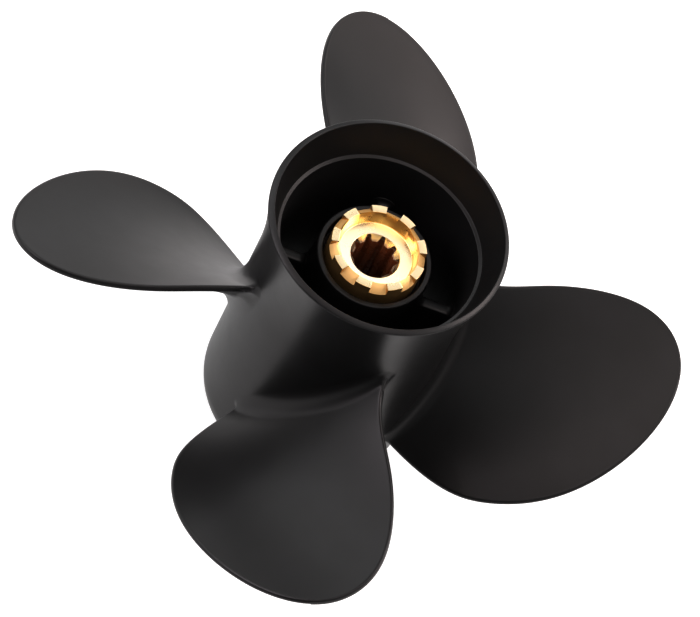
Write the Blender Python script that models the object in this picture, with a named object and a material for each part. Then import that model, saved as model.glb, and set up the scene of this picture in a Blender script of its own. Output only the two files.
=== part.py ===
"""Outboard propeller with four blades and exhaust through the hub.

Frame: the origin is the centre of the barrel's front end, which stands on the floor.
+Z runs along the shaft, from the gearcase towards the open exhaust rim.
The blades turn clockwise seen from the rim, so this is a right-hand propeller.
All sizes are in metres and all angles in degrees, unless a name says otherwise.
"""
import math

import bmesh
import bpy
import numpy as np

# Clearance between touching pieces
GAP = 0.0003

# Barrel, turned about the shaft
RIM_HEIGHT = 0.128
BARREL_RADIUS = 0.0404
NOSE_INSET = 0.005
NOSE_LENGTH = 0.010
FLARE_START = 0.083
LIP_RADIUS = 0.0460
LIP_DROP = 0.0008
LIP_FLAT_SHARE = 0.75
MOUTH_RADIUS = 0.04355
LEDGE_DEPTH = 0.0148
LEDGE_OUTER_RADIUS = 0.0391
LEDGE_INNER_RADIUS = 0.0375
TUBE_RADIUS = 0.0356
TUBE_STEP_DEPTH = 0.0400
FRONT_MOUTH_RADIUS = 0.0335
BARREL_SIDES = 64
NOSE_CURVE_POINTS = 5
FLARE_CURVE_POINTS = 8

# Inner hub, a tapered tube round the rubber
HUB_AFT_DEPTH = 0.0228
HUB_AFT_RADIUS = 0.0220
HUB_FRONT_RADIUS = 0.0245
HUB_FRONT_HEIGHT = 0.006
HUB_BORE_RADIUS = 0.0197
HUB_SHOULDER_RADIUS = 0.0170
HUB_SHOULDER_HEIGHT = 0.0140
HUB_SIDES = 48

# Ribs between the hub and the barrel
RIB_COUNT = 4
RIB_ANGLE = 12.0
RIB_TOP_DEPTH = 0.043
RIB_FOOT_HEIGHT = 0.014
RIB_TOP_THICKNESS = 0.0044
RIB_FOOT_THICKNESS = 0.0060
RIB_END_GAP = 0.0004

# Brass sleeve with the spline and the castellated aft ring
SLEEVE_AFT_DEPTH = 0.0162
SLEEVE_RADIUS = 0.0135
SLEEVE_FRONT_HEIGHT = 0.004
RING_OUTER_RADIUS = 0.0182
RING_INNER_RADIUS = 0.0152
RING_LENGTH = 0.0138
COUNTERBORE_DEPTH = 0.0060
COUNTERBORE_FOOT_RADIUS = 0.0143
NOTCH_COUNT = 9
NOTCH_INNER_DEPTH = 0.0003
NOTCH_OUTER_DEPTH = 0.0030
NOTCH_WIDTH_ANGLE = 20.8
TOOTH_ANGLE = -6.3
SPLINE_COUNT = 10
SPLINE_ANGLE = 20.2
SPLINE_MAJOR_RADIUS = 0.0094
SPLINE_MINOR_RADIUS = 0.0077
SPLINE_ROOT_HALF_ANGLE = 5.0
SPLINE_MOUTH_HALF_ANGLE = 10.6
LEAD_IN_RADIUS = 0.0096
LEAD_IN_DEPTH = 0.0026
BLANK_BORE_RADIUS = 0.0072
CUTTER_OVERRUN = 0.0050
SLEEVE_SIDES = 54

# Blades, measured from a helical face with a constant pitch
BLADE_COUNT = 4
BLADE_ANGLE = 20.0
PITCH = 0.340
REFERENCE_RADIUS = 0.0435
REFERENCE_HEIGHT = 0.0696
RAKE_SLOPE = -0.080
RAKE_CURL = 1.54
CUP = 0.237

# The outline seen along the shaft, as control points of a cubic curve from the leading
# edge's root round the tip to the trailing edge's root: radius and angle
OUTLINE = (
    (0.0350, -45.5),
    (0.0670, -46.0),
    (0.0865, -41.0),
    (0.1095, -29.0),
    (0.1270, -13.5),
    (0.1345, 0.0),
    (0.1185, 10.5),
    (0.0765, 15.5),
    (0.0485, 11.0),
    (0.0350, 24.5),
)
EDGE_THICKNESS = 0.0024
ROOT_THICKNESS = 0.0085
TIP_THICKNESS = 0.0032
THICKNESS_TAPER_POWER = 0.8
ROOT_FILLET = 0.0080
ROOT_FILLET_SHARE = 0.6
ROOT_CLEARANCE = 0.00045
TIP_ROUNDING = 0.0015
TIP_ROUNDING_STATIONS = (0.3, 0.04)
OUTLINE_SAMPLES = 241
SLOPE_STEP = 0.001
CHORD_STEPS = 13
NOSE_STEPS = 2
ROOT_STATIONS = (0.0, 0.0012, 0.0032, 0.0075)
SPAN_STATIONS = (0.16, 0.26, 0.38, 0.50, 0.62, 0.73, 0.83, 0.91, 0.96, 0.985)

# Colour as linear red, green and blue, then metallic and roughness
PAINT = ("satin_black_paint", (0.040, 0.040, 0.042), 0.0, 0.42)
CAST_INSIDE = ("painted_casting_inside", (0.022, 0.021, 0.022), 0.0, 0.60)
BRASS = ("turned_brass", (0.780, 0.500, 0.180), 1.0, 0.28)
RUBBER = ("black_rubber", (0.012, 0.011, 0.010), 0.0, 0.75)


def clear_scene():
    """Remove every object that the file starts with."""
    for thing in list(bpy.data.objects):
        bpy.data.objects.remove(thing, do_unlink=True)


def make_material(finish):
    """Return the material of a finish, made on its first use."""
    name, colour, metallic, roughness = finish
    material = bpy.data.materials.get(name)
    if material is None:
        material = bpy.data.materials.new(name)
        material.use_nodes = True
        shader = material.node_tree.nodes["Principled BSDF"]
        shader.inputs["Base Color"].default_value = (*colour, 1.0)
        shader.inputs["Metallic"].default_value = metallic
        shader.inputs["Roughness"].default_value = roughness
    return material


def mesh_from(name, shape):
    """Turn a bmesh into a mesh with its faces pointing out."""
    bmesh.ops.recalc_face_normals(shape, faces=shape.faces)
    mesh = bpy.data.meshes.new(name)
    shape.to_mesh(mesh)
    shape.free()
    mesh.shade_smooth()
    mesh.set_sharp_from_angle(angle=math.radians(35))
    return mesh


def add_object(name, mesh, finish=None):
    """Link an object for a mesh, with a material where it has a finish."""
    thing = bpy.data.objects.new(name, mesh)
    bpy.context.scene.collection.objects.link(thing)
    if finish is not None and not mesh.materials:
        mesh.materials.append(make_material(finish))
    return thing


def add_cutter(name, mesh):
    """Link an object that only cuts others."""
    cutter = add_object(name, mesh)
    cutter.hide_render = True
    cutter.display_type = "WIRE"
    return cutter


def cut(thing, cutter):
    """Take a cutter's volume out of an object."""
    step = thing.modifiers.new(cutter.name, "BOOLEAN")
    step.operation = "DIFFERENCE"
    step.solver = "EXACT"
    step.object = cutter


def loft(shape, rings, closed=False):
    """Join rings of points with quads, and return the rings of vertices."""
    rows = [[shape.verts.new(point) for point in ring] for ring in rings]
    pairs = list(zip(rows, rows[1:]))
    if closed:
        pairs.append((rows[-1], rows[0]))
    for low, high in pairs:
        count = len(low)
        for i in range(count):
            j = (i + 1) % count
            shape.faces.new((low[i], low[j], high[j], high[i]))
    return rows


def polar(radius, angle, height):
    """Return the point at a radius, an angle in radians and a height."""
    return (radius * math.cos(angle), radius * math.sin(angle), height)


def turned(name, profile, sides):
    """Turn a closed profile of radius and height about the shaft."""
    angles = [2 * math.pi * i / sides for i in range(sides)]
    shape = bmesh.new()
    loft(shape, [[polar(r, a, z) for a in angles] for r, z in profile], closed=True)
    return mesh_from(name, shape)


def barrel_radius(height):
    """Return the barrel's outer radius at a height, past its nose."""
    share = max(0.0, (height - FLARE_START) / (RIM_HEIGHT - LIP_DROP - FLARE_START))
    return BARREL_RADIUS + (LIP_RADIUS - BARREL_RADIUS) * share ** 2


def barrel_outside():
    """Return the outer half of the barrel's profile, front to lip."""
    points = []
    for turn in np.linspace(0.0, math.pi / 2, NOSE_CURVE_POINTS):
        radius = BARREL_RADIUS - NOSE_INSET * (1 - math.sin(turn))
        points.append((radius, NOSE_LENGTH * (1 - math.cos(turn))))
    for height in np.linspace(FLARE_START, RIM_HEIGHT - LIP_DROP, FLARE_CURVE_POINTS):
        points.append((barrel_radius(height), height))
    points.append((MOUTH_RADIUS + LIP_FLAT_SHARE * (LIP_RADIUS - MOUTH_RADIUS), RIM_HEIGHT))
    return points


def barrel_inside():
    """Return the inner half of the barrel's profile, mouth to front."""
    return [
        (MOUTH_RADIUS, RIM_HEIGHT),
        (LEDGE_OUTER_RADIUS, RIM_HEIGHT - LEDGE_DEPTH),
        (LEDGE_INNER_RADIUS, RIM_HEIGHT - LEDGE_DEPTH),
        (TUBE_RADIUS, RIM_HEIGHT - TUBE_STEP_DEPTH),
        (TUBE_RADIUS, NOSE_LENGTH),
        (FRONT_MOUTH_RADIUS, 0.0),
    ]


def make_barrel():
    """Make the outer barrel with its flared exhaust rim."""
    mesh = turned("outer_barrel", barrel_outside() + barrel_inside(), BARREL_SIDES)
    add_object("outer_barrel", mesh, PAINT)


def hub_radius(height):
    """Return the inner hub's outer radius at a height."""
    top = RIM_HEIGHT - HUB_AFT_DEPTH
    share = (height - HUB_FRONT_HEIGHT) / (top - HUB_FRONT_HEIGHT)
    return HUB_FRONT_RADIUS + (HUB_AFT_RADIUS - HUB_FRONT_RADIUS) * share


def make_hub():
    """Make the tapered hub that holds the rubber."""
    top = RIM_HEIGHT - HUB_AFT_DEPTH
    profile = [
        (HUB_SHOULDER_RADIUS, HUB_FRONT_HEIGHT),
        (HUB_FRONT_RADIUS, HUB_FRONT_HEIGHT),
        (HUB_AFT_RADIUS, top),
        (HUB_BORE_RADIUS, top),
        (HUB_BORE_RADIUS, HUB_SHOULDER_HEIGHT),
        (HUB_SHOULDER_RADIUS, HUB_SHOULDER_HEIGHT),
    ]
    add_object("inner_hub", turned("inner_hub", profile, HUB_SIDES), CAST_INSIDE)


def make_ribs():
    """Make the straight ribs that carry the hub inside the barrel."""
    rings = []
    levels = (
        (RIB_FOOT_HEIGHT, RIB_FOOT_THICKNESS / 2),
        (RIM_HEIGHT - RIB_TOP_DEPTH, RIB_TOP_THICKNESS / 2),
    )
    for height, half in levels:
        near = hub_radius(height) + RIB_END_GAP
        far = TUBE_RADIUS - RIB_END_GAP
        rings.append([
            (near, -half, height),
            (far, -half, height),
            (far, half, height),
            (near, half, height),
        ])
    shape = bmesh.new()
    foot, top = loft(shape, rings)
    shape.faces.new(foot)
    shape.faces.new(top)
    mesh = mesh_from("rib", shape)
    for i in range(RIB_COUNT):
        rib = add_object(f"rib_{i + 1}", mesh, CAST_INSIDE)
        rib.rotation_euler.z = math.radians(RIB_ANGLE + 360 * i / RIB_COUNT)


def sleeve_profile():
    """Return the closed profile of the brass sleeve before its cuts."""
    top = RIM_HEIGHT - SLEEVE_AFT_DEPTH
    floor = top - COUNTERBORE_DEPTH
    lead_in_slope = LEAD_IN_DEPTH / (LEAD_IN_RADIUS - SPLINE_MINOR_RADIUS)
    return [
        (BLANK_BORE_RADIUS, SLEEVE_FRONT_HEIGHT),
        (SLEEVE_RADIUS, SLEEVE_FRONT_HEIGHT),
        (SLEEVE_RADIUS, top - RING_LENGTH),
        (RING_OUTER_RADIUS, top - RING_LENGTH),
        (RING_OUTER_RADIUS, top),
        (RING_INNER_RADIUS, top),
        (COUNTERBORE_FOOT_RADIUS, floor),
        (LEAD_IN_RADIUS, floor),
        (BLANK_BORE_RADIUS, floor - lead_in_slope * (LEAD_IN_RADIUS - BLANK_BORE_RADIUS)),
    ]


def spline_cutter():
    """Make the star-shaped bar that leaves the internal spline."""
    corners = []
    for i in range(SPLINE_COUNT):
        middle = SPLINE_ANGLE + 360 * i / SPLINE_COUNT
        corners.append((SPLINE_MINOR_RADIUS, middle - SPLINE_MOUTH_HALF_ANGLE))
        corners.append((SPLINE_MAJOR_RADIUS, middle - SPLINE_ROOT_HALF_ANGLE))
        corners.append((SPLINE_MAJOR_RADIUS, middle + SPLINE_ROOT_HALF_ANGLE))
        corners.append((SPLINE_MINOR_RADIUS, middle + SPLINE_MOUTH_HALF_ANGLE))
    shape = bmesh.new()
    ends = (SLEEVE_FRONT_HEIGHT - CUTTER_OVERRUN, RIM_HEIGHT)
    low, high = loft(shape, [[polar(r, math.radians(a), z) for r, a in corners] for z in ends])
    shape.faces.new(low)
    shape.faces.new(high)
    return add_cutter("spline_cutter", mesh_from("spline_cutter", shape))


def notch_cutter():
    """Make the wedges that cut the notches, whose floors slope down towards the outside."""
    top = RIM_HEIGHT - SLEEVE_AFT_DEPTH
    slope = (NOTCH_OUTER_DEPTH - NOTCH_INNER_DEPTH) / (RING_OUTER_RADIUS - RING_INNER_RADIUS)
    far_floor = top - NOTCH_OUTER_DEPTH - slope * CUTTER_OVERRUN
    half = math.radians(NOTCH_WIDTH_ANGLE / 2)
    shape = bmesh.new()
    for i in range(NOTCH_COUNT):
        middle = math.radians(TOOTH_ANGLE + 360 * (i + 0.5) / NOTCH_COUNT)
        corners = (
            (RING_INNER_RADIUS, middle - half, top - NOTCH_INNER_DEPTH),
            (RING_OUTER_RADIUS + CUTTER_OVERRUN, middle - half, far_floor),
            (RING_OUTER_RADIUS + CUTTER_OVERRUN, middle + half, far_floor),
            (RING_INNER_RADIUS, middle + half, top - NOTCH_INNER_DEPTH),
        )
        floor = [polar(r, a, z) for r, a, z in corners]
        roof = [polar(r, a, RIM_HEIGHT) for r, a, z in corners]
        low, high = loft(shape, [floor, roof])
        shape.faces.new(low)
        shape.faces.new(high)
    return add_cutter("notch_cutter", mesh_from("notch_cutter", shape))


def make_sleeve():
    """Make the brass sleeve with its spline and its castellated ring."""
    mesh = turned("spline_sleeve", sleeve_profile(), SLEEVE_SIDES)
    sleeve = add_object("spline_sleeve", mesh, BRASS)
    cut(sleeve, spline_cutter())
    cut(sleeve, notch_cutter())


def make_rubber():
    """Make the rubber bush between the sleeve and the hub."""
    top = RIM_HEIGHT - SLEEVE_AFT_DEPTH - RING_LENGTH - GAP
    foot = HUB_SHOULDER_HEIGHT + GAP
    near = SLEEVE_RADIUS + GAP
    far = HUB_BORE_RADIUS - GAP
    profile = [(near, foot), (far, foot), (far, top), (near, top)]
    add_object("rubber_bush", turned("rubber_bush", profile, HUB_SIDES), RUBBER)


def bspline(controls, count):
    """Return points along a cubic B-spline that starts and ends on its end controls."""
    controls = np.asarray(controls)
    last = len(controls) - 1
    knots = np.concatenate(([0] * 3, np.linspace(0, 1, last - 1), [1] * 3))
    points = []
    for place in np.linspace(0, 1, count):
        span = min(int(np.searchsorted(knots, place, side="right")) - 1, last)
        work = [controls[span - 3 + i] for i in range(4)]
        for level in range(1, 4):
            for i in range(3, level - 1, -1):
                low = knots[span - 3 + i]
                share = (place - low) / (knots[span + 1 + i - level] - low)
                work[i] = (1 - share) * work[i - 1] + share * work[i]
        points.append(work[3])
    return np.array(points)


def blade_edges():
    """Return the leading and trailing edges as radius and angle, root to tip."""
    controls = [(r * math.cos(math.radians(a)), r * math.sin(math.radians(a))) for r, a in OUTLINE]
    outline = bspline(controls, OUTLINE_SAMPLES)
    radius = np.hypot(outline[:, 0], outline[:, 1])
    angle = np.arctan2(outline[:, 1], outline[:, 0])
    tip = int(radius.argmax())
    leading = (radius[:tip + 1], angle[:tip + 1])
    trailing = (radius[tip:][::-1], angle[tip:][::-1])
    return leading, trailing


def face_height(radius, angle):
    """Return the height of the blade's face at a radius and an angle in radians."""
    out = radius - REFERENCE_RADIUS
    generator = REFERENCE_HEIGHT + RAKE_SLOPE * out + RAKE_CURL * out ** 2
    return generator + PITCH * angle / (2 * math.pi) + CUP * out * angle ** 2


def fillet(out):
    """Return how far the root fillet stands off the blade at a distance from the barrel."""
    if out >= ROOT_FILLET:
        return 0.0
    left = ROOT_FILLET - out
    return ROOT_FILLET_SHARE * (ROOT_FILLET - math.sqrt(ROOT_FILLET ** 2 - left ** 2))


def blade_section(radius, span, edges, tip_radius):
    """Return the closed section of a blade, wrapped on its own cylinder."""
    (lead_r, lead_a), (trail_r, trail_a) = edges
    lead = float(np.interp(radius, lead_r, lead_a))
    trail = float(np.interp(radius, trail_r, trail_a))
    root = BARREL_RADIUS + GAP
    grow = fillet(radius - root)
    left = min(1.0, (tip_radius - radius) / TIP_ROUNDING)
    shrink = math.sqrt(max(0.0, 1 - (1 - left) ** 2))
    taper = span ** THICKNESS_TAPER_POWER
    thickest = ROOT_THICKNESS + (TIP_THICKNESS - ROOT_THICKNESS) * taper
    pressure = []
    suction = []
    for share in np.linspace(0, 1, CHORD_STEPS):
        angle = lead + (trail - lead) * share
        height = face_height(radius, angle)
        slope = (face_height(radius, angle + SLOPE_STEP) - height) / (SLOPE_STEP * radius)
        along = math.hypot(1.0, slope)
        normal = np.array((-slope / along, 1.0 / along))
        body = EDGE_THICKNESS + (thickest - EDGE_THICKNESS) * (1 - (2 * share - 1) ** 2)
        centre = np.array((angle * radius, height))
        half = EDGE_THICKNESS / 2
        pressure.append(centre + normal * (half * shrink + grow))
        suction.append(centre - normal * ((body - half) * shrink + grow))
    section = list(pressure)
    section += rounded_end(pressure[-1], suction[-1])
    section += suction[::-1]
    section += rounded_end(suction[0], pressure[0])
    return [outside_barrel(radius, place[0] / radius, place[1]) for place in section]


def outside_barrel(radius, angle, height):
    """Return a point of a blade, moved out where the flare would reach it."""
    return polar(max(radius, barrel_radius(height) + ROOT_CLEARANCE), angle, height)


def rounded_end(start, end):
    """Return the points of a half circle that carries one face round to the other."""
    middle = (start + end) / 2
    arm = start - middle
    side = np.array((arm[1], -arm[0]))
    turns = [math.pi * (i + 1) / (NOSE_STEPS + 1) for i in range(NOSE_STEPS)]
    return [middle + arm * math.cos(turn) + side * math.sin(turn) for turn in turns]


def root_cap(shape, ring):
    """Close the root with a middle row and fanned ends, so that it follows the barrel."""
    count = len(ring)
    half = CHORD_STEPS + NOSE_STEPS
    pressure = ring[:CHORD_STEPS]
    suction = ring[half:half + CHORD_STEPS][::-1]
    middle = []
    for upper, lower in zip(pressure, suction):
        angle = (math.atan2(upper.co.y, upper.co.x) + math.atan2(lower.co.y, lower.co.x)) / 2
        height = (upper.co.z + lower.co.z) / 2
        middle.append(shape.verts.new(outside_barrel(BARREL_RADIUS + GAP, angle, height)))
    for i in range(CHORD_STEPS - 1):
        shape.faces.new((pressure[i], pressure[i + 1], middle[i + 1], middle[i]))
        shape.faces.new((middle[i], middle[i + 1], suction[i + 1], suction[i]))
    for hub, first in ((middle[-1], CHORD_STEPS - 1), (middle[0], half + CHORD_STEPS - 1)):
        for i in range(first, first + NOSE_STEPS + 1):
            shape.faces.new((hub, ring[i], ring[(i + 1) % count]))


def make_blades():
    """Make one blade's mesh and set four of them round the barrel."""
    edges = blade_edges()
    tip_radius = float(edges[0][0][-1])
    root = BARREL_RADIUS + GAP
    length = tip_radius - root
    radii = [root + out for out in ROOT_STATIONS]
    radii += [root + length * share for share in SPAN_STATIONS]
    radii += [tip_radius - TIP_ROUNDING * share for share in TIP_ROUNDING_STATIONS]
    shape = bmesh.new()
    rings = [blade_section(r, (r - root) / length, edges, tip_radius) for r in radii]
    rows = loft(shape, rings)
    root_cap(shape, rows[0])
    shape.faces.new(rows[-1])
    bmesh.ops.triangulate(shape, faces=shape.faces)
    mesh = mesh_from("blade", shape)
    for i in range(BLADE_COUNT):
        blade = add_object(f"blade_{i + 1}", mesh, PAINT)
        blade.rotation_euler.z = math.radians(BLADE_ANGLE + 360 * i / BLADE_COUNT)


def main():
    """Build the propeller from the outside in."""
    clear_scene()
    make_barrel()
    make_blades()
    make_ribs()
    make_hub()
    make_rubber()
    make_sleeve()


main()
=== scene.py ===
"""Looks of the outboard propeller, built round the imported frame.

Sizes are in metres and angles in degrees, unless a name says otherwise. +Z runs along the
shaft towards the exhaust rim. Heights are counted from the front end, depths from the rim.
"""
from __future__ import annotations

import logging
import math
from collections.abc import Sequence
from dataclasses import dataclass, field
from enum import Enum
from typing import Any

import bmesh
import bpy
import numpy as np
from bpy.types import ID, Material, Mesh, Node, NodeSocket, NodeTree, Object
from mathutils import Matrix, Vector

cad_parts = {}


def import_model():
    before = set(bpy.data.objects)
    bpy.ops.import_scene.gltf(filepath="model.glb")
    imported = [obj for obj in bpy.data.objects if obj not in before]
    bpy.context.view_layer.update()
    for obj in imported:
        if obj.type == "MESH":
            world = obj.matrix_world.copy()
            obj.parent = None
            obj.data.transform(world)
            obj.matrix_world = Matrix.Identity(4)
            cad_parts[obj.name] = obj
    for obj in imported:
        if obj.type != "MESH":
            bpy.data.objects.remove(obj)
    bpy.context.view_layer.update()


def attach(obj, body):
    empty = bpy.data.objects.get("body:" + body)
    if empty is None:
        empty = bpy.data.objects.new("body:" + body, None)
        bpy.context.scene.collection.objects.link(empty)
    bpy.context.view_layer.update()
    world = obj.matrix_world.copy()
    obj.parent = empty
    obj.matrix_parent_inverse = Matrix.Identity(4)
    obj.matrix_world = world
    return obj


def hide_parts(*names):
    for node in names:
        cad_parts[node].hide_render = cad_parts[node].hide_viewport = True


Pair = tuple[float, float]
LOG = logging.getLogger("propeller")
MM = 0.001
BODY = "root"
# Nearly all of a noise pattern lies between these two values.
NOISE_SPAN = (0.3, 0.7)
# The most that a rounding takes of a side, so that two of them never meet.
ROUNDING_SHARE = 0.49
WELD_DISTANCE = 1e-7
SHORTEST_EDGE = 1e-8


def hex_to_linear(code: str) -> tuple[float, float, float, float]:
    """Turn an sRGB hex colour into a linear one.

    Args:
        code: Colour such as "#c08030".

    Returns:
        Red, green, blue and an alpha of one.
    """
    shades = [int(code[i:i + 2], 16) / 255 for i in (1, 3, 5)]
    linear = [s / 12.92 if s <= 0.04045 else ((s + 0.055) / 1.055) ** 2.4 for s in shades]
    return (*linear, 1.0)


def set_inputs(tree: NodeTree, node: Node, inputs: dict[str | int, Any]) -> None:
    """Set or link the inputs of a node.

    Args:
        tree: Node tree of the node.
        node: Node whose inputs are set.
        inputs: For each socket its value, the output to link, or a node for its first output.
    """
    for name, value in inputs.items():
        source = value.outputs[0] if isinstance(value, Node) else value
        if isinstance(source, NodeSocket):
            tree.links.new(source, node.inputs[name])
        else:
            node.inputs[name].default_value = source


def add_node(tree: NodeTree, kind: str, inputs: dict[str | int, Any] | None = None,
             **settings: Any) -> Node:
    """Add a node with its settings and links.

    Args:
        tree: Node tree that the node goes into.
        kind: Blender's name of the node type.
        inputs: Values and links of the input sockets.
        settings: Properties of the node.

    Returns:
        The new node.
    """
    node = tree.nodes.new(kind)
    for name, value in settings.items():
        setattr(node, name, value)
    set_inputs(tree, node, inputs or {})
    return node


def soft_patches(tree: NodeTree, place: NodeSocket, size_mm: float, low: float = 0.0,
                 high: float = 1.0, detail: float = 4.0) -> Node:
    """Let a value wander between two limits in soft patches.

    Args:
        tree: Node tree of the material.
        place: Where the pattern is read.
        size_mm: Size of the patches.
        low: Lower limit.
        high: Upper limit.
        detail: Number of finer patterns in the patches.

    Returns:
        The node that gives the value.
    """
    noise = add_node(tree, "ShaderNodeTexNoise",
                     {"Vector": place, "Scale": 1 / (size_mm * MM), "Detail": detail})
    return add_node(tree, "ShaderNodeMapRange",
                    {"Value": noise, "From Min": NOISE_SPAN[0], "From Max": NOISE_SPAN[1],
                     "To Min": low, "To Max": high})


def mottle(tree: NodeTree, place: NodeSocket, size_mm: float, low: str, high: str) -> Node:
    """Blend two colours in soft patches.

    Args:
        tree: Node tree of the material.
        place: Where the pattern is read.
        size_mm: Size of the patches.
        low: Hex colour of one half of them.
        high: Hex colour of the other half.

    Returns:
        The node that gives the colour.
    """
    share = soft_patches(tree, place, size_mm)
    return add_node(tree, "ShaderNodeMixRGB",
                    {"Fac": share, "Color1": hex_to_linear(low), "Color2": hex_to_linear(high)})


def blank_material(name: str) -> tuple[Material, NodeTree, Node]:
    """Start a material.

    Args:
        name: Name of the material.

    Returns:
        The material, its node tree and its Principled shader.
    """
    material = bpy.data.materials.new(name)
    material.use_nodes = True
    tree = material.node_tree
    return material, tree, tree.nodes["Principled BSDF"]


@dataclass(frozen=True)
class BakedPaint:
    """Black baked enamel, sprayed on a blasted aluminium casting."""

    name: str = "satin_black_enamel"
    dark: str = "#121212"
    light: str = "#171718"
    patch_mm: float = 24.0
    ior: float = 1.35
    roughness: Pair = (0.35, 0.38)
    gloss_patch_mm: float = 9.0
    peel_mm: float = 2.6
    peel_height_mm: float = 0.006
    # The real grain is finer. It is drawn as coarse as it needs to be to show.
    grain_mm: float = 0.45
    grain_height_mm: float = 0.004

    def build(self) -> Material:
        """Build the enamel.

        Returns:
            The material.
        """
        # Baked enamel gives broad, satin highlights on black. The peel of the sprayed coat and
        # the blasted grain under it break their edges up a little.
        material, tree, shader = blank_material(self.name)
        place = add_node(tree, "ShaderNodeTexCoord").outputs["Object"]
        peel = add_node(tree, "ShaderNodeTexNoise",
                        {"Vector": place, "Scale": 1 / (self.peel_mm * MM), "Detail": 1.0})
        grain = add_node(tree, "ShaderNodeTexNoise",
                         {"Vector": place, "Scale": 1 / (self.grain_mm * MM), "Detail": 2.0})
        waves = add_node(tree, "ShaderNodeBump",
                         {"Height": peel, "Distance": self.peel_height_mm * MM})
        relief = add_node(tree, "ShaderNodeBump",
                          {"Height": grain, "Distance": self.grain_height_mm * MM, "Normal": waves})
        set_inputs(tree, shader, {
            "Base Color": mottle(tree, place, self.patch_mm, self.dark, self.light),
            "Roughness": soft_patches(tree, place, self.gloss_patch_mm, *self.roughness),
            "IOR": self.ior, "Normal": relief})
        return material


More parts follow.
